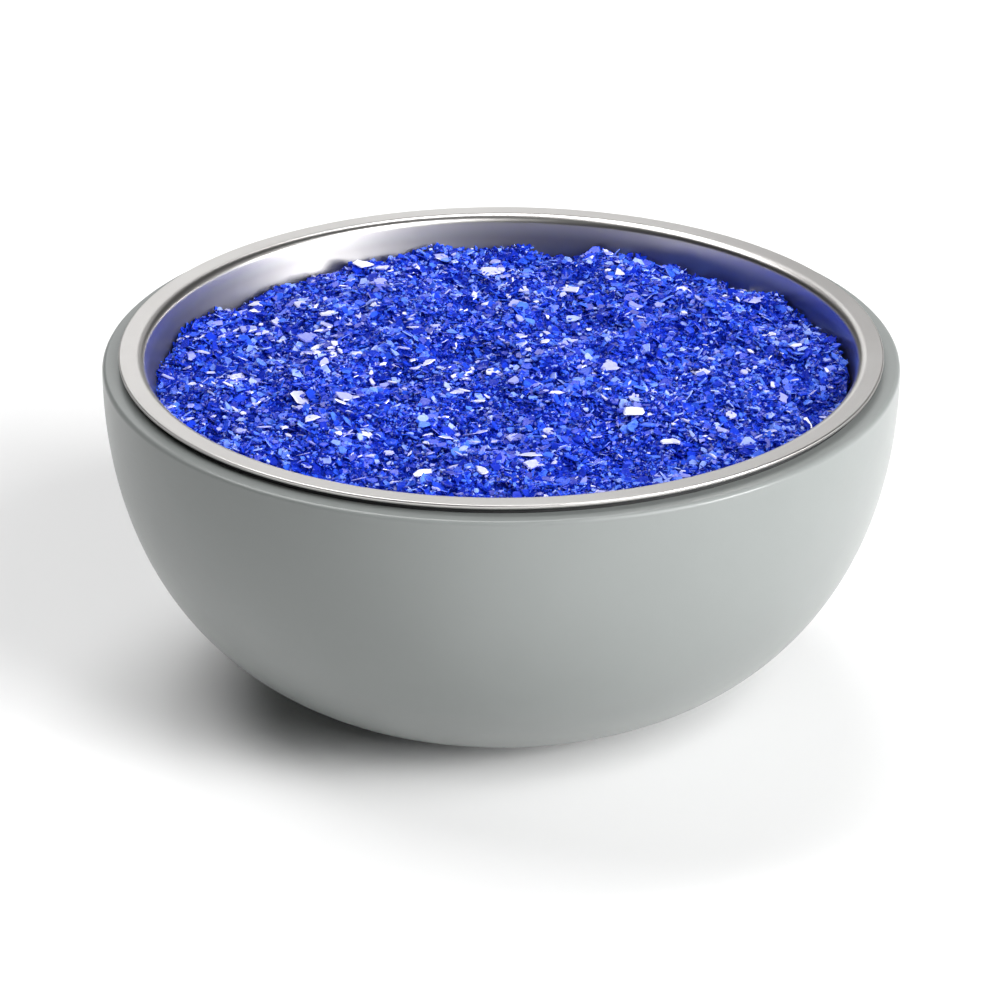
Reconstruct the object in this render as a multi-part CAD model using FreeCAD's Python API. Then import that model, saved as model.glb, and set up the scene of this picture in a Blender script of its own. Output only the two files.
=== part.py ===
import FreeCAD, Part
import math
import os
import random

from FreeCAD import Vector

# A double-walled round bowl: a moulded outer shell, a pressed steel liner that lifts out of it,
# a gasket between the two, a non-slip ring under the base, and a loose fill of crystal flakes.
# Millimetres, +Z up. The origin is the centre of the circle that the bowl stands on.

# Driving dimensions
OUTER_RADIUS = 80.0
LIP_HEIGHT = 70.0
BASE_RADIUS = 25.0
SHELL_WALL = 3.0

# Outer shell
FOOT_STANDS_PROUD = 0.4
SHELL_FLOOR = FOOT_STANDS_PROUD + SHELL_WALL
INSIDE_TOP_RADIUS = 76.6
OUTSIDE_PULLS = (0.70, 0.44)
INSIDE_PULLS = (0.49, 0.59)
LIP_EDGE_RADIUS = 0.9
SEAT_RADIUS = 72.7
SEAT_HEIGHT = LIP_HEIGHT - 2.4
SEAT_RIB_HEIGHT = 5.0
SEAT_CHAMFER = 0.3

# Steel liner
SHEET = 0.9
FLANGE_HEIGHT = LIP_HEIGHT + 2.0
FLANGE_RADIUS = 76.65
FLANGE_EDGE_RADIUS = 0.3
BEND_RADIUS = 2.0
BEND_CENTRE_RADIUS = 73.3
WALL_LEAN_DEGREES = 11.3
LINER_FLOOR_RADIUS = 22.0
LINER_FLOOR_HEIGHT = 7.6
LINER_SIDE_PULL = 34.0
LINER_FLOOR_PULL = 26.0
LINER_MEAN_RADIUS = 60.0

# Gasket between the flange and the lip
GASKET_RADIUS = 73.6
GASKET_WIDTH = 2.0
GASKET_GROOVE_DEPTH = 1.0
GASKET_ROUNDING = 0.5

# Non-slip ring under the base
FOOT_RADIUS = 15.5
FOOT_WIDTH = 6.0
FOOT_GROOVE_DEPTH = 2.0
FOOT_ROUNDING = 0.5

# Gap left at each face of a ring that is pressed into its groove
GROOVE_GAP = 0.05

# Loose fill: a low mound with its flakes lying on top
FILL_GAP = 0.4
FILL_RADIUS = 70.0
FILL_EDGE_HEIGHT = 64.6
FILL_RISE = 2.0
FLAKE_LIFT = 0.12
FLAKE_SPACING = 0.4
FLAKE_FIELD_RADIUS = 66.0
FLAKE_TILT_DEGREES = 11.0
GOLDEN_ANGLE = math.pi * (3.0 - math.sqrt(5.0))
SEED = 7


def point(radius, height):
    """A point of a half section: its distance from the axis, and its height."""
    return Vector(radius, 0.0, height)


class HalfSection:
    """A closed outline drawn edge by edge beside the axis, then turned into a solid."""

    def __init__(self, radius, height):
        self.start = point(radius, height)
        self.here = self.start
        self.edges = []

    def line_to(self, radius, height):
        end = point(radius, height)
        self.edges.append(Part.LineSegment(self.here, end).toShape())
        self.here = end

    def arc_about(self, centre, degrees):
        """Carries the pen round a centre; positive turns from +X towards +Z."""
        middle = turned_about(self.here, centre, 0.5 * degrees)
        end = turned_about(self.here, centre, degrees)
        self.edges.append(Part.Arc(self.here, middle, end).toShape())
        self.here = end

    def curve_to(self, *poles):
        """A smooth curve from the pen to the last pole, pulled by the ones between."""
        curve = Part.BezierCurve()
        curve.setPoles([self.here, *poles])
        self.edges.append(curve.toShape())
        self.here = poles[-1]

    def revolve(self):
        if self.here.distanceToPoint(self.start) > 1e-9:
            self.line_to(self.start.x, self.start.z)
        face = Part.Face(Part.Wire(self.edges))
        return face.revolve(Vector(0, 0, 0), Vector(0, 0, 1), 360)


def turned_about(place, centre, degrees):
    turn = math.radians(degrees)
    offset = place - centre
    return centre + point(
        offset.x * math.cos(turn) - offset.z * math.sin(turn),
        offset.x * math.sin(turn) + offset.z * math.cos(turn),
    )


def shell_side(top_radius, top_height, floor_radius, floor_height, pulls):
    """Poles of the shell's round side, from the top down to the flat floor.

    The pulls say how far the curve keeps to the upright at its top, as a share of its drop, and
    to the level at its bottom, as a share of its spread.
    """
    drop = top_height - floor_height
    spread = top_radius - floor_radius
    return [
        point(top_radius, top_height),
        point(top_radius, top_height - pulls[0] * drop),
        point(floor_radius + pulls[1] * spread, floor_height),
        point(floor_radius, floor_height),
    ]


def liner_side(offset):
    """Poles of a curve beside the liner's inner face, an offset outside it, from the bend down."""
    lean = math.radians(WALL_LEAN_DEGREES)
    outward = point(math.cos(lean), -math.sin(lean))
    downhill = point(-math.sin(lean), -math.cos(lean))
    bend_centre = point(BEND_CENTRE_RADIUS, FLANGE_HEIGHT - BEND_RADIUS)
    stretch = 1.0 + offset / LINER_MEAN_RADIUS
    top = bend_centre - outward * (BEND_RADIUS - offset)
    floor = point(LINER_FLOOR_RADIUS, LINER_FLOOR_HEIGHT - offset)
    return [
        top,
        top + downhill * (LINER_SIDE_PULL * stretch),
        floor + point(LINER_FLOOR_PULL * stretch, 0.0),
        floor,
    ]


def make_outer_shell():
    foot_top = FOOT_STANDS_PROUD + FOOT_GROOVE_DEPTH
    groove_floor = LIP_HEIGHT - GASKET_GROOVE_DEPTH
    outside = shell_side(
        OUTER_RADIUS, LIP_HEIGHT - LIP_EDGE_RADIUS, BASE_RADIUS, FOOT_STANDS_PROUD, OUTSIDE_PULLS
    )
    inside = shell_side(
        INSIDE_TOP_RADIUS, SEAT_HEIGHT - SEAT_RIB_HEIGHT, BASE_RADIUS, SHELL_FLOOR, INSIDE_PULLS
    )
    lip_edge_centre = point(OUTER_RADIUS - LIP_EDGE_RADIUS, LIP_HEIGHT - LIP_EDGE_RADIUS)

    section = HalfSection(OUTER_RADIUS - LIP_EDGE_RADIUS, LIP_HEIGHT)
    section.arc_about(lip_edge_centre, -90)
    section.curve_to(*outside[1:])
    section.line_to(FOOT_RADIUS + FOOT_WIDTH, FOOT_STANDS_PROUD)
    section.line_to(FOOT_RADIUS + FOOT_WIDTH, foot_top)
    section.line_to(FOOT_RADIUS, foot_top)
    section.line_to(FOOT_RADIUS, FOOT_STANDS_PROUD)
    section.line_to(0.0, FOOT_STANDS_PROUD)
    section.line_to(0.0, SHELL_FLOOR)
    section.line_to(inside[3].x, inside[3].z)
    section.curve_to(*reversed(inside[:3]))
    section.line_to(SEAT_RADIUS, SEAT_HEIGHT)
    section.line_to(SEAT_RADIUS, LIP_HEIGHT - SEAT_CHAMFER)
    section.line_to(SEAT_RADIUS + SEAT_CHAMFER, LIP_HEIGHT)
    section.line_to(GASKET_RADIUS, LIP_HEIGHT)
    section.line_to(GASKET_RADIUS, groove_floor)
    section.line_to(GASKET_RADIUS + GASKET_WIDTH, groove_floor)
    section.line_to(GASKET_RADIUS + GASKET_WIDTH, LIP_HEIGHT)
    return section.revolve()


def make_steel_liner():
    underside = FLANGE_HEIGHT - SHEET
    edge_radius = FLANGE_RADIUS - FLANGE_EDGE_RADIUS
    bend_centre = point(BEND_CENTRE_RADIUS, FLANGE_HEIGHT - BEND_RADIUS)
    bend = 90.0 - WALL_LEAN_DEGREES
    inner = liner_side(0.0)
    outer = liner_side(SHEET)

    section = HalfSection(edge_radius, FLANGE_HEIGHT)
    section.line_to(BEND_CENTRE_RADIUS, FLANGE_HEIGHT)
    section.arc_about(bend_centre, bend)
    section.curve_to(*inner[1:])
    section.line_to(0.0, LINER_FLOOR_HEIGHT)
    section.line_to(0.0, LINER_FLOOR_HEIGHT - SHEET)
    section.line_to(outer[3].x, outer[3].z)
    section.curve_to(*reversed(outer[:3]))
    section.arc_about(bend_centre, -bend)
    section.line_to(edge_radius, underside)
    section.arc_about(point(edge_radius, underside + FLANGE_EDGE_RADIUS), 90)
    section.line_to(FLANGE_RADIUS, FLANGE_HEIGHT - FLANGE_EDGE_RADIUS)
    section.arc_about(point(edge_radius, FLANGE_HEIGHT - FLANGE_EDGE_RADIUS), 90)
    return section.revolve()


def make_rim_gasket():
    """Sits in the lip's groove, rounded where the flange rests on it."""
    inner = GASKET_RADIUS + GROOVE_GAP
    outer = GASKET_RADIUS + GASKET_WIDTH - GROOVE_GAP
    low = LIP_HEIGHT - GASKET_GROOVE_DEPTH
    high = FLANGE_HEIGHT - SHEET - GROOVE_GAP
    shoulder = high - GASKET_ROUNDING

    section = HalfSection(inner, low)
    section.line_to(outer, low)
    section.line_to(outer, shoulder)
    section.arc_about(point(outer - GASKET_ROUNDING, shoulder), 90)
    section.line_to(inner + GASKET_ROUNDING, high)
    section.arc_about(point(inner + GASKET_ROUNDING, shoulder), 90)
    return section.revolve()


def make_foot_ring():
    """Sits in the groove under the base, and carries the bowl on its flat lower face."""
    inner = FOOT_RADIUS + GROOVE_GAP
    outer = FOOT_RADIUS + FOOT_WIDTH - GROOVE_GAP
    high = FOOT_STANDS_PROUD + FOOT_GROOVE_DEPTH

    section = HalfSection(inner + FOOT_ROUNDING, 0.0)
    section.line_to(outer - FOOT_ROUNDING, 0.0)
    section.arc_about(point(outer - FOOT_ROUNDING, FOOT_ROUNDING), 90)
    section.line_to(outer, high)
    section.line_to(inner, high)
    section.line_to(inner, FOOT_ROUNDING)
    section.arc_about(point(inner + FOOT_ROUNDING, FOOT_ROUNDING), 90)
    return section.revolve()


def mound_height(radius):
    """Height of the fill's top, a shallow dome that is lowest at the wall."""
    return FILL_EDGE_HEIGHT + FILL_RISE * (1.0 - (radius / FILL_RADIUS) ** 2)


def make_crystal_bed():
    """The bulk of the fill: the liner's inside, less a small gap, cut off by the mound's top."""
    side = liner_side(-FILL_GAP)
    inside = HalfSection(side[0].x, side[0].z)
    inside.curve_to(*side[1:])
    inside.line_to(0.0, side[3].z)
    inside.line_to(0.0, side[0].z)

    crown = mound_height(0.0)
    mound = HalfSection(0.0, crown)
    mound.curve_to(point(0.5 * FILL_RADIUS, crown), point(FILL_RADIUS, FILL_EDGE_HEIGHT))
    mound.line_to(FILL_RADIUS, 0.0)
    mound.line_to(0.0, 0.0)
    return inside.revolve().common(mound.revolve())


def shard(reach, thickness, chooser):
    """A thin irregular plate about the origin, tilted a little and turned at random."""
    corners = chooser.randint(5, 8)
    rim = []
    for index in range(corners):
        turn = 2.0 * math.pi * (index + chooser.uniform(-0.3, 0.3)) / corners
        length = reach * chooser.uniform(0.55, 1.0)
        rim.append(Vector(length * math.cos(turn), length * math.sin(turn), 0.0))
    plate = Part.Face(Part.makePolygon([*rim, rim[0]])).extrude(Vector(0, 0, thickness))
    heading = chooser.uniform(0.0, 360.0)
    tilt = chooser.uniform(-FLAKE_TILT_DEGREES, FLAKE_TILT_DEGREES)
    plate.rotate(Vector(0, 0, 0), Vector(1, 0, 0), tilt)
    plate.rotate(Vector(0, 0, 0), Vector(0, 0, 1), heading)
    return plate


def laid_on_mound(plate, x, y):
    """Moves a shard over a place on the mound, so that its lowest corner just clears the top."""
    corners = [vertex.Point for vertex in plate.Vertexes]
    needed = max(mound_height(math.hypot(c.x + x, c.y + y)) - c.z for c in corners)
    plate.translate(Vector(x, y, needed + FLAKE_LIFT))
    return plate


def scatter_flakes(count, smallest, largest, thickness, taken, chooser):
    """Lays flakes over the mound on a sunflower spiral, leaving out any that would touch."""
    flakes = []
    for index in range(count):
        distance = FLAKE_FIELD_RADIUS * math.sqrt((index + chooser.uniform(0.2, 0.8)) / count)
        bearing = index * GOLDEN_ANGLE
        x = distance * math.cos(bearing)
        y = distance * math.sin(bearing)
        reach = chooser.uniform(smallest, largest)
        plate = laid_on_mound(shard(reach, thickness, chooser), x, y)
        is_free = all(
            math.hypot(x - other_x, y - other_y) > reach + other_reach + FLAKE_SPACING
            for other_x, other_y, other_reach in taken
        )
        if is_free:
            taken.append((x, y, reach))
            flakes.append(plate)
    return Part.makeCompound(flakes)


def make_parts():
    chooser = random.Random(SEED)
    taken = []
    return {
        "outer_shell": make_outer_shell(),
        "steel_liner": make_steel_liner(),
        "rim_gasket": make_rim_gasket(),
        "foot_ring": make_foot_ring(),
        "crystal_bed": make_crystal_bed(),
        "broad_flakes": scatter_flakes(64, 1.6, 3.2, 0.35, taken, chooser),
        "fine_flakes": scatter_flakes(260, 0.7, 1.4, 0.30, taken, chooser),
    }


def main():
    os.makedirs("parts", exist_ok=True)
    for name, shape in make_parts().items():
        shape.exportStep(os.path.join("parts", name + ".step"))
        solids = shape.Solids
        volume = sum(solid.Volume for solid in solids) / 1000.0
        print(f"{name}: {len(solids)} solid(s), valid {shape.isValid()}, {volume:.2f} cm3")


main()
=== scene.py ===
import math

import bpy
import numpy as np
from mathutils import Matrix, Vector


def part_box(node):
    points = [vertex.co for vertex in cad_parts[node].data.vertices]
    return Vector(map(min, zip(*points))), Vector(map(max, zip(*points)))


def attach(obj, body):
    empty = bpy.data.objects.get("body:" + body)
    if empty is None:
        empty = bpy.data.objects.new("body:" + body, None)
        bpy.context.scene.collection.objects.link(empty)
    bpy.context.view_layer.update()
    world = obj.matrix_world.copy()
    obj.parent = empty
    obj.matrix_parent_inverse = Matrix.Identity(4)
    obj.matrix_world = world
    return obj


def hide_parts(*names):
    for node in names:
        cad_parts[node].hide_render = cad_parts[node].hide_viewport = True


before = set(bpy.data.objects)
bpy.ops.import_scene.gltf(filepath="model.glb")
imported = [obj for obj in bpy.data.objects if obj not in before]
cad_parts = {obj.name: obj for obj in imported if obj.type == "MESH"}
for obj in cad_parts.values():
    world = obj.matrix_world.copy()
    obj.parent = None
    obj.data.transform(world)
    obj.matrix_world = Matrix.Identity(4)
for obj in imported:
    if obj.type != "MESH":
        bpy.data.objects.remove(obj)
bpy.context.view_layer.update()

MM = 0.001
LIP_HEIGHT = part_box("outer_shell")[1][2]
BED_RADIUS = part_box("crystal_bed")[1][0]
BED_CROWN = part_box("crystal_bed")[1][2]

# Half section of the shell, in millimetres, as in the CAD model
SHELL_RADIUS = 80.0
SHELL_HEIGHT = 70.0
SHELL_BASE = (25.0, 0.4)
SHELL_FLOOR = (25.0, 3.4)
SHELL_INSIDE_TOP = (76.6, 62.6)
OUTSIDE_PULLS = (0.70, 0.44)
INSIDE_PULLS = (0.49, 0.59)
LIP_EDGE_RADIUS = 0.9
SEAT = ((72.7, 67.6), (72.7, 69.7), (73.0, 70.0))
GASKET_GROOVE = ((73.6, 70.0), (73.6, 69.0), (75.6, 69.0), (75.6, 70.0))
FOOT_GROOVE = ((21.5, 0.4), (21.5, 2.4), (15.5, 2.4), (15.5, 0.4))

# Half section of the liner, in millimetres, as in the CAD model, and the fill's gap inside it
SHEET = 0.9
FLANGE_HEIGHT = 72.0
FLANGE_RADIUS = 76.65
FLANGE_EDGE_RADIUS = 0.3
BEND_RADIUS = 2.0
BEND_CENTRE = np.array((73.3, 70.0))
WALL_LEAN = math.radians(11.3)
LINER_FLOOR = np.array((22.0, 7.6))
LINER_PULLS = (34.0, 26.0)
LINER_MEAN_RADIUS = 60.0
FILL_GAP = 0.55

# How finely the walls are turned: a span longer than the step gets a support ring near each end
TURNED_SEGMENTS = 288
CURVE_STEPS = 84
LONGEST_STEP = 1.5
SUPPORT_SHARE = 0.05
SMOOTH_UP_TO = math.radians(32.0)

# The liner's finish changes over its bend, between these heights in metres: below it a rougher satin
# wall whose base colour is darkened as painted shade, above it the polished flange at full colour
SATIN_AND_PAINTED_SHADE_BELOW = 67.0 * MM
POLISHED_FULL_COLOUR_ABOVE = 70.5 * MM

# The loose fill's top surface, in metres
EDGE_DROP = 1.9 * MM
LEAN_TO_RIGHT = 0.016
LUMP_HEIGHT = 0.55 * MM
LUMP_LENGTHS = (46 * MM, 31 * MM, 21 * MM, 14 * MM, 9 * MM)
HEAP_RINGS = 120
HEAP_SEGMENTS = 360
HEAP_SIDE_STEPS = 70
CORE_DEPTH = 0.5 * MM
SEED = 41

# Camera: straight at the front, 23 degrees up, a long lens from 1.2 m
CAMERA_ELEVATION = math.radians(23.06)
CAMERA_DISTANCE = 1.2
CAMERA_AIM = Vector((-0.00024, 0.0, 0.0384))
CAMERA_LENS = 215.136
SENSOR_WIDTH = 36.0

# The studio, in metres
FLOOR_REACH = 12.0
GLOW_STARTS = 0.6
GLOW_IS_FULL = 1.6
SOFTBOX_DISTANCE = 1.5

# Softboxes: name, bearing and elevation in degrees, side in metres, power in watts
SOFTBOXES = (
    ("key_right", 66, 15, 0.50, 21.5),
    ("key_front", 46, 20, 0.55, 7.5),
    ("right_high", 45, 42, 0.70, 13.0),
    ("left_back_high", 245, 60, 0.70, 9.5),
    ("front_high", 18, 40, 0.70, 2.0),
    ("overhead_back", 186, 64, 0.70, 10.0),
    ("back_strip_right", 165, 23, 0.50, 0.6),
    ("back_strip", 187, 23, 0.55, 1.35),
)


# ---------------------------------------------------------------- materials

def new_material(name):
    """A node material with its Principled shader, ready for links."""
    material = bpy.data.materials.new(name)
    material.use_nodes = True
    tree = material.node_tree
    shader = tree.nodes["Principled BSDF"]
    return material, tree, shader


def node(tree, kind, **settings):
    """A new shader node of a kind, with some of its properties set."""
    made = tree.nodes.new(kind)
    for name, value in settings.items():
        setattr(made, name, value)
    return made


def noise(tree, scale, detail, roughness, coordinates):
    """The value of a noise over some coordinates."""
    made = node(tree, "ShaderNodeTexNoise")
    made.inputs["Scale"].default_value = scale
    made.inputs["Detail"].default_value = detail
    made.inputs["Roughness"].default_value = roughness
    tree.links.new(coordinates, made.inputs["Vector"])
    return made.outputs["Fac"]


def ramp(tree, source, stops):
    """A colour ramp from (position, colour) stops, driven by a value."""
    made = node(tree, "ShaderNodeValToRGB")
    elements = made.color_ramp.elements
    while len(elements) < len(stops):
        elements.new(0.5)
    for element, (position, colour) in zip(elements, stops):
        element.position = position
        element.color = (*colour, 1.0)
    tree.links.new(source, made.inputs["Fac"])
    return made.outputs["Color"]


def map_range(tree, source, low, high):
    """A value from 0 to 1, spread from low to high."""
    made = node(tree, "ShaderNodeMapRange")
    made.inputs["To Min"].default_value = low
    made.inputs["To Max"].default_value = high
    tree.links.new(source, made.inputs["Value"])
    return made.outputs["Result"]


def smooth_step(tree, source, start, end, height):
    """A value that climbs smoothly from 0 at the start to its full height at the end."""
    made = node(tree, "ShaderNodeMapRange", interpolation_type="SMOOTHSTEP")
    made.inputs["From Min"].default_value = start
    made.inputs["From Max"].default_value = end
    made.inputs["To Max"].default_value = height
    tree.links.new(source, made.inputs["Value"])
    return made.outputs["Result"]


def bump(tree, height, strength, distance):
    """A normal tilted by the slopes of a height."""
    made = node(tree, "ShaderNodeBump")
    made.inputs["Strength"].default_value = strength
    made.inputs["Distance"].default_value = distance
    tree.links.new(height, made.inputs["Height"])
    return made.outputs["Normal"]


def math_node(tree, operation, first, second):
    """Two values, each a socket or a number, put through one operation."""
    made = node(tree, "ShaderNodeMath", operation=operation)
    for socket, value in zip(made.inputs, (first, second)):
        if isinstance(value, float):
            socket.default_value = value
        else:
            tree.links.new(value, socket)
    return made.outputs[0]


def shell_material():
    """Sage grey moulded plastic with a soft gloss."""
    material, tree, shader = new_material("sage_gloss_plastic")
    place = node(tree, "ShaderNodeTexCoord").outputs["Object"]
    clouds = noise(tree, 26.0, 3.0, 0.5, place)
    colour = ramp(tree, clouds, [
        (0.35, (0.194, 0.207, 0.202)),
        (0.65, (0.203, 0.216, 0.211)),
    ])
    tree.links.new(colour, shader.inputs["Base Color"])
    wear = noise(tree, 90.0, 6.0, 0.6, place)
    tree.links.new(map_range(tree, wear, 0.28, 0.36), shader.inputs["Roughness"])
    orange_peel = noise(tree, 900.0, 2.0, 0.4, place)
    tree.links.new(bump(tree, orange_peel, 0.02, 0.0003), shader.inputs["Normal"])
    shader.inputs["Coat Weight"].default_value = 0.15
    shader.inputs["Coat Roughness"].default_value = 0.08
    shader.inputs["Specular IOR Level"].default_value = 0.3
    return material


def steel_material():
    """Turned stainless steel: fine lines round the axis, a flange at full colour, and a rougher satin
    wall whose base colour is darkened as painted shade.
    """
    material, tree, shader = new_material("turned_stainless_steel")
    place = node(tree, "ShaderNodeTexCoord").outputs["Object"]
    split = node(tree, "ShaderNodeSeparateXYZ")
    tree.links.new(place, split.inputs["Vector"])
    squares = [
        math_node(tree, "MULTIPLY", split.outputs[axis], split.outputs[axis]) for axis in ("X", "Y")
    ]
    radius = math_node(tree, "POWER", math_node(tree, "ADD", *squares), 0.5)
    rings = node(tree, "ShaderNodeCombineXYZ")
    tree.links.new(radius, rings.inputs["X"])
    tree.links.new(split.outputs["Z"], rings.inputs["Y"])
    lines = noise(tree, 5200.0, 3.0, 0.6, rings.outputs["Vector"])
    clouds = noise(tree, 40.0, 4.0, 0.6, place)
    colour = ramp(tree, clouds, [
        (0.3, (0.52, 0.505, 0.492)),
        (0.7, (0.57, 0.558, 0.546)),
    ])
    polish_and_shade_mask = smooth_step(tree, split.outputs["Z"], SATIN_AND_PAINTED_SHADE_BELOW, POLISHED_FULL_COLOUR_ABOVE, 1.0)
    # Painted shade: below the bend the base colour is scaled down to 58 percent, darkening the inner
    # wall
    shade = node(tree, "ShaderNodeVectorMath", operation="SCALE")
    tree.links.new(colour, shade.inputs["Vector"])
    tree.links.new(map_range(tree, polish_and_shade_mask, 0.58, 1.0), shade.inputs["Scale"])
    tree.links.new(shade.outputs["Vector"], shader.inputs["Base Color"])
    roughness = math_node(
        tree, "ADD", map_range(tree, lines, 0.28, 0.33), map_range(tree, polish_and_shade_mask, 0.06, 0.0)
    )
    tree.links.new(roughness, shader.inputs["Roughness"])
    tree.links.new(bump(tree, lines, 0.07, 0.00004), shader.inputs["Normal"])
    shader.inputs["Metallic"].default_value = 1.0
    shader.inputs["Anisotropic"].default_value = 0.45
    around = node(tree, "ShaderNodeTangent", direction_type="RADIAL", axis="Z")
    tree.links.new(around.outputs["Tangent"], shader.inputs["Tangent"])
    return material


def rubber_material(name, dark, light):
    """Matte silicone rubber with a faint bloom."""
    material, tree, shader = new_material(name)
    place = node(tree, "ShaderNodeTexCoord").outputs["Object"]
    bloom = noise(tree, 220.0, 5.0, 0.6, place)
    colour = ramp(tree, bloom, [(0.3, dark), (0.7, light)])
    tree.links.new(colour, shader.inputs["Base Color"])
    tree.links.new(map_range(tree, bloom, 0.55, 0.8), shader.inputs["Roughness"])
    tree.links.new(bump(tree, bloom, 0.2, 0.0001), shader.inputs["Normal"])
    return material


def crystal_material(name, stops, roughness, refraction):
    """Glassy flakes: each one has its own tint, read from the mesh."""
    material, tree, shader = new_material(name)
    tint = node(tree, "ShaderNodeAttribute", attribute_name="tint")
    place = node(tree, "ShaderNodeTexCoord").outputs["Object"]
    grain = noise(tree, 1500.0, 3.0, 0.6, place)
    mottled = math_node(tree, "ADD", tint.outputs["Fac"], map_range(tree, grain, -0.08, 0.08))
    tree.links.new(ramp(tree, mottled, stops), shader.inputs["Base Color"])
    tree.links.new(map_range(tree, grain, *roughness), shader.inputs["Roughness"])
    tree.links.new(bump(tree, grain, 0.15, 0.00008), shader.inputs["Normal"])
    shader.inputs["IOR"].default_value = refraction
    return material


# ---------------------------------------------------------------- meshes

def mesh_object(name, vertices, face_corners, face_sizes, attributes=None):
    """A flat-shaded mesh object from corner indices, face after face, and corners per face."""
    mesh = bpy.data.meshes.new(name)
    mesh.vertices.add(len(vertices))
    mesh.vertices.foreach_set("co", np.asarray(vertices, dtype=np.float32).ravel())
    mesh.loops.add(len(face_corners))
    mesh.loops.foreach_set("vertex_index", np.asarray(face_corners, dtype=np.int32))
    starts = np.concatenate([[0], np.cumsum(face_sizes)[:-1]]).astype(np.int32)
    mesh.polygons.add(len(face_sizes))
    mesh.polygons.foreach_set("loop_start", starts)
    for key, values in (attributes or {}).items():
        layer = mesh.attributes.new(key, "FLOAT", "FACE")
        layer.data.foreach_set("value", np.asarray(values, dtype=np.float32))
    mesh.update(calc_edges=True)
    mesh.validate()
    mesh.shade_flat()
    made = bpy.data.objects.new(name, mesh)
    bpy.context.scene.collection.objects.link(made)
    return made


def ringed_object(name, first_pole, rings, last_pole, tint_limit=None):
    """A closed skin over rings of points, with a fan at each end of the axis."""
    count, segments = rings.shape[:2]
    vertices = np.concatenate([[first_pole], rings.reshape(-1, 3), [last_pole]])
    index = np.arange(segments)
    following = np.roll(index, -1)
    opening = np.stack([np.zeros_like(index), 1 + index, 1 + following], axis=1)
    starts = 1 + segments * np.arange(count - 1)[:, None]
    quads = np.stack([
        starts + index, starts + segments + index, starts + segments + following, starts + following
    ], axis=-1)
    last = 1 + segments * (count - 1)
    closing = np.stack([last + following, last + index, np.full(segments, last + segments)], axis=1)
    corners = np.concatenate([opening.ravel(), quads.ravel(), closing.ravel()])
    sizes = np.concatenate([
        np.full(segments, 3), np.full(segments * (count - 1), 4), np.full(segments, 3)
    ])
    tints = None if tint_limit is None else {"tint": random.uniform(0.0, tint_limit, len(sizes))}
    return mesh_object(name, vertices, corners, sizes, tints)


def arc(centre, start, degrees, steps=12):
    """Points after the start, round a centre; positive turns from outwards to upwards."""
    turns = np.radians(degrees) * np.arange(1, steps + 1) / steps
    offset = np.asarray(start) - centre
    return [
        centre + np.array((
            offset[0] * math.cos(turn) - offset[1] * math.sin(turn),
            offset[0] * math.sin(turn) + offset[1] * math.cos(turn),
        )) for turn in turns
    ]


def curve(poles, steps=CURVE_STEPS):
    """Points of a cubic curve after its first pole."""
    share = (np.arange(1, steps + 1) / steps)[:, None]
    rest = 1.0 - share
    a, b, c, d = (np.asarray(pole) for pole in poles)
    return list(
        rest ** 3 * a + 3 * rest ** 2 * share * b + 3 * rest * share ** 2 * c + share ** 3 * d
    )


def shell_side(top, floor, pulls):
    """Poles of the shell's round side, from the top down to the flat floor.

    The pulls are the shares of the drop and of the spread that its two middle poles stand off.
    """
    drop, spread = top[1] - floor[1], top[0] - floor[0]
    return [top, (top[0], top[1] - pulls[0] * drop), (floor[0] + pulls[1] * spread, floor[1]), floor]


def liner_side(offset):
    """Poles of a curve beside the liner's inner face, an offset outside it, from the bend down."""
    outward = np.array((math.cos(WALL_LEAN), -math.sin(WALL_LEAN)))
    downhill = np.array((-math.sin(WALL_LEAN), -math.cos(WALL_LEAN)))
    stretch = 1.0 + offset / LINER_MEAN_RADIUS
    top = BEND_CENTRE - outward * (BEND_RADIUS - offset)
    floor = LINER_FLOOR - (0.0, offset)
    return [
        top, top + downhill * LINER_PULLS[0] * stretch,
        floor + (LINER_PULLS[1] * stretch, 0.0), floor,
    ]


def turned_object(name, outline):
    """A half section turned about the axis; its first and last points lie on the axis."""
    outline = np.array(outline)
    points = [outline[0]]
    for before, after in zip(outline[:-1], outline[1:]):
        if np.hypot(*(after - before)) > LONGEST_STEP:
            support = SUPPORT_SHARE * (after - before)
            points += [before + support, after - support]
        points.append(after)
    points = np.array(points) * MM
    turn = np.linspace(0.0, 2.0 * math.pi, TURNED_SEGMENTS, endpoint=False)
    inner = points[1:-1]
    rings = np.stack([
        inner[:, :1] * np.cos(turn), inner[:, :1] * np.sin(turn),
        np.broadcast_to(inner[:, 1:], (len(inner), len(turn))),
    ], axis=-1)
    made = ringed_object(name, (0.0, 0.0, points[0, 1]), rings, (0.0, 0.0, points[-1, 1]))
    made.data.shade_smooth()
    made.data.set_sharp_from_angle(angle=SMOOTH_UP_TO)
    return made


def build_shell():
    """The moulded outer wall: round outside, hollow inside, with a flat grooved lip."""
    inside = shell_side(SHELL_INSIDE_TOP, SHELL_FLOOR, INSIDE_PULLS)
    outside_top = (SHELL_RADIUS, SHELL_HEIGHT - LIP_EDGE_RADIUS)
    outside = shell_side(outside_top, SHELL_BASE, OUTSIDE_PULLS)
    edge_centre = np.array((SHELL_RADIUS - LIP_EDGE_RADIUS, SHELL_HEIGHT - LIP_EDGE_RADIUS))
    edge_start = (SHELL_RADIUS - LIP_EDGE_RADIUS, SHELL_HEIGHT)
    outline = [(0.0, SHELL_FLOOR[1]), SHELL_FLOOR, *curve(inside[::-1]), *SEAT, *GASKET_GROOVE]
    outline += [edge_start, *arc(edge_centre, edge_start, -90), *curve(outside)]
    outline += [*FOOT_GROOVE, (0.0, SHELL_BASE[1])]
    shell = turned_object("shell_wall", outline)
    shell.data.materials.append(shell_material())
    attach(shell, "shell")
    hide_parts("outer_shell")


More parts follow.
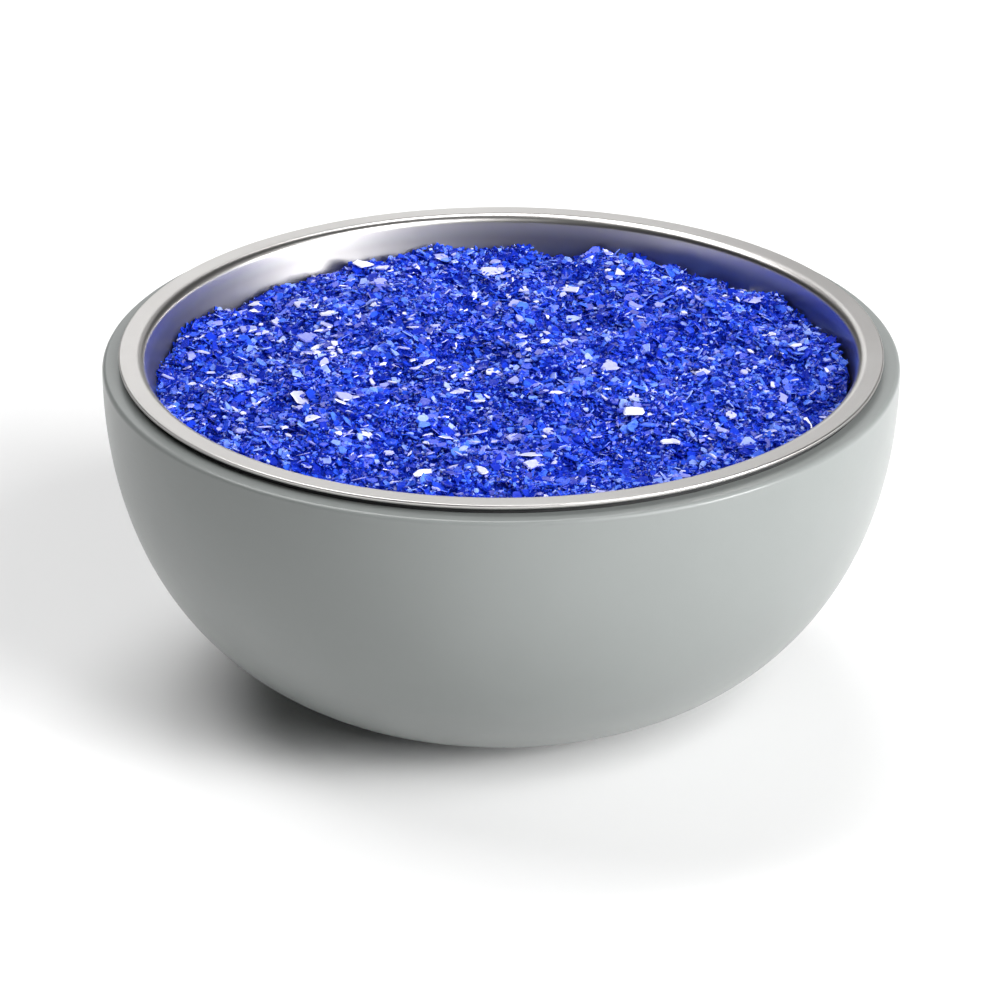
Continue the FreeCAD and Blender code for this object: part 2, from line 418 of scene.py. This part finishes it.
def build_liner():
    """The pressed sheet: wall, bend and flat flange, the same thickness all along."""
    edge_radius = FLANGE_RADIUS - FLANGE_EDGE_RADIUS
    underside = FLANGE_HEIGHT - SHEET
    bend = 90.0 - math.degrees(WALL_LEAN)
    inner, outer = liner_side(0.0), liner_side(SHEET)
    high_edge = np.array((edge_radius, FLANGE_HEIGHT - FLANGE_EDGE_RADIUS))
    low_edge = np.array((edge_radius, underside + FLANGE_EDGE_RADIUS))
    outline = [(0.0, LINER_FLOOR[1]), LINER_FLOOR, *curve(inner[::-1])]
    outline += arc(BEND_CENTRE, inner[0], -bend, 16)
    outline += [(edge_radius, FLANGE_HEIGHT)]
    outline += arc(high_edge, (edge_radius, FLANGE_HEIGHT), -90, 6)
    outline += [(FLANGE_RADIUS, low_edge[1]), *arc(low_edge, (FLANGE_RADIUS, low_edge[1]), -90, 6)]
    outline += [(BEND_CENTRE[0], underside), *arc(BEND_CENTRE, (BEND_CENTRE[0], underside), bend, 10)]
    outline += [*curve(outer), (0.0, outer[3][1])]
    liner = turned_object("liner_wall", outline)
    liner.data.materials.append(steel_material())
    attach(liner, "liner")
    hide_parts("steel_liner")


random = np.random.default_rng(SEED)
lump_headings = random.uniform(0.0, 2.0 * math.pi, (len(LUMP_LENGTHS), 3))
lump_phases = random.uniform(0.0, 2.0 * math.pi, (len(LUMP_LENGTHS), 3))


def fill_height(x, y):
    """Height of the heap: a low dome that leans up to the right, with lumps of several sizes."""
    share = np.hypot(x, y) / BED_RADIUS
    height = BED_CROWN - EDGE_DROP * share ** 2 + LEAN_TO_RIGHT * x
    for length, headings, phases in zip(LUMP_LENGTHS, lump_headings, lump_phases):
        swell = LUMP_HEIGHT * math.sqrt(length / LUMP_LENGTHS[0])
        for heading, phase in zip(headings, phases):
            along = x * math.cos(heading) + y * math.sin(heading)
            height = height + swell * np.sin(2.0 * math.pi * along / length + phase)
    return height


def turned_axes(count, tilt_limit):
    """Random frames: a normal tilted off the vertical, and two directions across it."""
    tilt = tilt_limit * random.uniform(0.0, 1.0, count)
    heading = random.uniform(0.0, 2.0 * math.pi, count)
    spin = random.uniform(0.0, 2.0 * math.pi, count)
    normal = np.stack([
        np.sin(tilt) * np.cos(heading), np.sin(tilt) * np.sin(heading), np.cos(tilt)
    ], axis=1)
    return across(normal, spin)


def across(normal, spin):
    """Two directions square to each normal, turned about it by a spin."""
    helper = np.where(np.abs(normal[:, :1]) < 0.8, [[1.0, 0.0, 0.0]], [[0.0, 1.0, 0.0]])
    first = np.cross(normal, helper)
    first /= np.linalg.norm(first, axis=1, keepdims=True)
    second = np.cross(normal, first)
    cosine, sine = np.cos(spin)[:, None], np.sin(spin)[:, None]
    return first * cosine + second * sine, second * cosine - first * sine, normal


def shards(name, centres, axes, reach, thickness, corners, tint, ragged, slimness):
    """One object of many thin irregular plates, each closed, with its upper face a little smaller."""
    count = len(centres)
    first, second, normal = (axis[:, None, :] for axis in axes)
    steps = np.arange(corners) + random.uniform(-0.32, 0.32, (count, corners))
    turn = 2.0 * math.pi * steps / corners
    length = reach[:, None] * random.uniform(1.0 - ragged, 1.0, (count, corners))
    squeeze = random.uniform(*slimness, count)[:, None]
    along, beside = length * np.cos(turn), length * squeeze * np.sin(turn)
    rim = along[..., None] * first + beside[..., None] * second
    shrink = random.uniform(0.78, 0.97, (count, 1, 1))
    half = 0.5 * thickness[:, None, None] * normal
    middle = centres[:, None, :]
    vertices = np.concatenate([middle + rim - half, middle + rim * shrink + half], axis=1)
    low = np.arange(corners)
    high = low + corners
    following = np.roll(low, -1)
    sides = np.stack([low, following, following + corners, high], axis=1).ravel()
    pattern = np.concatenate([low[::-1], high, sides])
    sizes = np.array([corners, corners] + [4] * corners)
    offsets = np.arange(count)[:, None] * (2 * corners)
    return mesh_object(
        name, vertices.reshape(-1, 3), (pattern[None, :] + offsets).ravel(),
        np.tile(sizes, count), {"tint": np.repeat(tint, len(sizes))},
    )


def places_on_heap(count, reach, depth_low, depth_high, painted_glint_leftward):
    """Scattered places on the heap, kept off the wall, sunk or raised a little."""
    limit = BED_RADIUS - 0.55 * reach
    distance = limit * np.sqrt(random.uniform(0.0, 1.0, count))
    bearing = random.uniform(0.0, 2.0 * math.pi, count)
    # Bearings are pulled toward the left, so the pale flakes crowd there: a painted glint, as the
    # lights make more sparkle on the left
    bearing += painted_glint_leftward * np.sin(bearing)
    x, y = distance * np.cos(bearing), distance * np.sin(bearing)
    z = fill_height(x, y) + random.uniform(depth_low, depth_high, count)
    return np.stack([x, y, z], axis=1)


def scatter(
    name, count, corners, sizes, thickness, depth, tilt, tints,
    ragged=0.45, slimness=(0.55, 1.0), painted_glint_leftward=0.0,
):
    """Flakes all over the heap; small ones are commoner than large ones.

    Each pair is a range; tints are a range of colour stops and the power that favours the dark end.
    """
    reach = sizes[0] + (sizes[1] - sizes[0]) * random.uniform(0.0, 1.0, count) ** 2
    centres = places_on_heap(count, reach, *depth, painted_glint_leftward)
    axes = turned_axes(count, tilt)
    thick = random.uniform(*thickness, count)
    tint = tints[0] + (tints[1] - tints[0]) * random.uniform(0.0, 1.0, count) ** tints[2]
    return shards(name, centres, axes, reach, thick, corners, tint, ragged, slimness)


def heap_core():
    """The body of the heap under the flakes: a rough top, and a side that follows the liner."""
    side = np.array(curve(liner_side(-FILL_GAP), HEAP_SIDE_STEPS)) * MM
    turn = np.linspace(0.0, 2.0 * math.pi, HEAP_SEGMENTS, endpoint=False)
    edge = BED_RADIUS - 0.2 * MM
    radius = edge * np.linspace(0.0, 1.0, HEAP_RINGS + 1)[1:]
    x = radius[:, None] * np.cos(turn)
    y = radius[:, None] * np.sin(turn)
    z = fill_height(x, y) - CORE_DEPTH + random.uniform(-0.55 * MM, 0.15 * MM, x.shape)
    top = np.stack([x, y, z], axis=-1)
    side = side[(side[:, 1] < z[-1].min() - 0.4 * MM) & (side[:, 0] < edge)]
    pressed = side[:, :1] * (1.0 - random.uniform(0.0, 0.009, (len(side), HEAP_SEGMENTS)))
    lower = np.stack([
        pressed * np.cos(turn), pressed * np.sin(turn),
        side[:, 1:] + random.uniform(-0.2 * MM, 0.2 * MM, pressed.shape) * (side[:, :1] > 22 * MM),
    ], axis=-1)
    crown = (0.0, 0.0, float(fill_height(0.0, 0.0)) - CORE_DEPTH)
    bottom = (0.0, 0.0, side[-1, 1])
    return ringed_object("heap_core", crown, np.concatenate([top, lower]), bottom, 0.35)


def side_flakes(name, count):
    """Flakes that lie against the liner's wall and floor, under the heap."""
    side = np.array(curve(liner_side(-FILL_GAP), 200)) * MM
    side = np.concatenate([side, [(0.0, side[-1, 1])]])
    steps = np.diff(side, axis=0)
    area = np.hypot(*steps.T) * 0.5 * (side[1:, 0] + side[:-1, 0])
    below = side[1:, 1] < BED_CROWN
    chosen = random.choice(len(area), count, p=area * below / (area * below).sum())
    place = side[chosen] + steps[chosen] * np.sqrt(random.uniform(0.0, 1.0, (count, 1)))
    slope = steps[chosen] / np.hypot(*steps[chosen].T)[:, None]
    turn = random.uniform(0.0, 2.0 * math.pi, count)
    x, y = place[:, 0] * np.cos(turn), place[:, 0] * np.sin(turn)
    z = np.minimum(place[:, 1], fill_height(x, y) - 0.3 * MM)
    centres = np.stack([x, y, z], axis=1)
    normal = np.stack([
        -slope[:, 1] * np.cos(turn), -slope[:, 1] * np.sin(turn), slope[:, 0]
    ], axis=1)
    centres -= normal * random.uniform(0.0, 0.3 * MM, (count, 1))
    normal += random.uniform(-0.24, 0.24, (count, 3))
    normal /= np.linalg.norm(normal, axis=1, keepdims=True)
    axes = across(normal, random.uniform(0.0, 2.0 * math.pi, count))
    reach = random.uniform(0.5 * MM, 1.5 * MM, count)
    thickness = random.uniform(0.08 * MM, 0.2 * MM, count)
    tint = random.uniform(0.0, 1.0, count) ** 1.8
    return shards(name, centres, axes, reach, thickness, 5, tint, 0.45, (0.55, 1.0))


# ---------------------------------------------------------------- the object

BLUE_STOPS = [
    (0.00, (0.004, 0.018, 0.37)),
    (0.30, (0.011, 0.046, 0.64)),
    (0.60, (0.027, 0.105, 0.80)),
    (0.82, (0.090, 0.215, 0.90)),
    (1.00, (0.390, 0.480, 0.98)),
]
# Pale flake colours: partly the flakes' own lighter tint, partly a painted glint, the white sheen flat
# flakes take from the lights
PALE_AND_GLINT_STOPS = [
    (0.0, (0.12, 0.16, 0.82)),
    (0.4, (0.38, 0.40, 0.92)),
    (1.0, (0.75, 0.76, 0.97)),
]


def build_fill():
    """The contents: a solid heap under blue grit and flakes, with pale flakes on top whose pale colour
    is partly their own tint and partly a painted glint.
    """
    blue = crystal_material("blue_crystal_flakes", BLUE_STOPS, (0.10, 0.40), 1.42)
    pale_and_glint = crystal_material("pale_glint_crystal_flakes", PALE_AND_GLINT_STOPS, (0.06, 0.25), 1.75)
    core = heap_core()
    core.data.materials.append(blue)
    grains = []
    for part in range(3):
        grains.append(scatter(
            f"grit_{part + 1}", 10500, corners=3, sizes=(0.30 * MM, 0.95 * MM),
            thickness=(0.15 * MM, 0.55 * MM), depth=(-0.5 * MM, 0.45 * MM), tilt=1.35,
            tints=(0.0, 1.0, 1.8),
        ))
    for part in range(2):
        grains.append(scatter(
            f"flakes_{part + 1}", 4600, corners=5 + part, sizes=(0.6 * MM, 2.1 * MM),
            thickness=(0.08 * MM, 0.25 * MM), depth=(-0.2 * MM, 0.7 * MM), tilt=0.95,
            tints=(0.0, 1.0, 1.55),
        ))
    grains.append(side_flakes("side_flakes", 7000))
    for piece in grains:
        piece.data.materials.append(blue)
    # Flat pale flakes on top: their near-white colours are partly painted glints
    broad = scatter(
        "broad_pale_glint_flakes", 180, corners=9, sizes=(0.9 * MM, 3.1 * MM),
        thickness=(0.12 * MM, 0.3 * MM), depth=(0.5 * MM, 1.0 * MM), tilt=0.32,
        tints=(0.1, 1.0, 1.0), ragged=0.6, painted_glint_leftward=0.3,
    )
    slivers = scatter(
        "pale_glint_slivers", 420, corners=5, sizes=(0.7 * MM, 2.3 * MM),
        thickness=(0.10 * MM, 0.25 * MM), depth=(0.3 * MM, 0.9 * MM), tilt=0.5,
        tints=(0.2, 1.0, 1.0), slimness=(0.15, 0.45), painted_glint_leftward=0.4,
    )
    for piece in (broad, slivers):
        piece.data.materials.append(pale_and_glint)
    for piece in (core, *grains, broad, slivers):
        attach(piece, "fill")
    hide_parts("crystal_bed")
    for piece in grains:
        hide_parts("fine_flakes")
    for piece in (broad, slivers):
        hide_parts("broad_flakes")


def dress(node_name, material):
    """Gives a CAD node's object its finished material."""
    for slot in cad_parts[node_name].material_slots:
        slot.material = material


def dress_rings():
    """Rubber for the two rings, which stay the CAD model's own pieces."""
    # The gasket's near-black is silicone rubber, and it also stands in for the shade in the gap under
    # the flange
    dress("rim_gasket", rubber_material("black_silicone_gap_shade", (0.010, 0.010, 0.011), (0.022, 0.022, 0.023)))
    dress("foot_ring", rubber_material("grey_silicone", (0.050, 0.055, 0.054), (0.085, 0.090, 0.088)))


# ---------------------------------------------------------------- stage, light and camera

def build_floor():
    """A white tabletop, lit from within far away so that it stays white out to the horizon."""
    bpy.ops.mesh.primitive_grid_add(x_subdivisions=8, y_subdivisions=8, size=2 * FLOOR_REACH)
    floor = bpy.context.active_object
    floor.name = "studio_floor"
    material, tree, shader = new_material("pale_studio_floor")
    place = node(tree, "ShaderNodeTexCoord").outputs["Object"]
    clouds = noise(tree, 3.0, 3.0, 0.5, place)
    colour = ramp(tree, clouds, [(0.3, (0.86, 0.86, 0.86)), (0.7, (0.88, 0.88, 0.88))])
    tree.links.new(colour, shader.inputs["Base Color"])
    shader.inputs["Roughness"].default_value = 0.8
    shader.inputs["Specular IOR Level"].default_value = 0.2
    away = node(tree, "ShaderNodeVectorMath", operation="LENGTH")
    tree.links.new(place, away.inputs[0])
    glow = smooth_step(tree, away.outputs["Value"], GLOW_STARTS, GLOW_IS_FULL, 0.95)
    shader.inputs["Emission Color"].default_value = (1.0, 1.0, 1.0, 1.0)
    tree.links.new(glow, shader.inputs["Emission Strength"])
    floor.data.materials.append(material)


def softbox(name, bearing, elevation, size, power):
    """A square panel aimed at the object; bearings in degrees, 0 at the front and 90 on the right."""
    bearing, elevation = math.radians(bearing), math.radians(elevation)
    outward = Vector((
        math.sin(bearing) * math.cos(elevation), -math.cos(bearing) * math.cos(elevation),
        math.sin(elevation),
    ))
    data = bpy.data.lights.new(name, "AREA")
    data.shape = "SQUARE"
    data.size = size
    data.energy = power
    light = bpy.data.objects.new(name, data)
    bpy.context.scene.collection.objects.link(light)
    light.location = outward * SOFTBOX_DISTANCE + Vector((0.0, 0.0, 0.5 * LIP_HEIGHT))
    light.rotation_mode = "QUATERNION"
    light.rotation_quaternion = (-outward).to_track_quat("-Z", "Y")


def build_light():
    """The softboxes, and a sky that is white at the horizon and dim above."""
    for settings in SOFTBOXES:
        softbox(*settings)
    world = bpy.data.worlds.new("studio")
    bpy.context.scene.world = world
    world.use_nodes = True
    tree = world.node_tree
    background = tree.nodes["Background"]
    split = node(tree, "ShaderNodeSeparateXYZ")
    tree.links.new(node(tree, "ShaderNodeTexCoord").outputs["Generated"], split.inputs["Vector"])
    sky = ramp(tree, split.outputs["Z"], [(0.045, (1.0, 1.0, 1.0)), (0.085, (0.02, 0.02, 0.02))])
    tree.links.new(sky, background.inputs["Color"])
    background.inputs["Strength"].default_value = 1.0


def build_camera():
    """The photo's own angle on the object."""
    data = bpy.data.cameras.new("photo_camera")
    data.sensor_width = SENSOR_WIDTH
    data.lens = CAMERA_LENS
    camera = bpy.data.objects.new("photo_camera", data)
    bpy.context.scene.collection.objects.link(camera)
    back = Vector((0.0, -math.cos(CAMERA_ELEVATION), math.sin(CAMERA_ELEVATION)))
    camera.location = Vector((CAMERA_AIM.x, 0.0, LIP_HEIGHT)) + back * CAMERA_DISTANCE
    camera.rotation_mode = "QUATERNION"
    camera.rotation_quaternion = (CAMERA_AIM - camera.location).to_track_quat("-Z", "Y")
    bpy.context.scene.camera = camera


build_camera()
build_shell()
build_liner()
dress_rings()
build_fill()
build_floor()
build_light()
bpy.context.scene.view_settings.view_transform = "Standard"
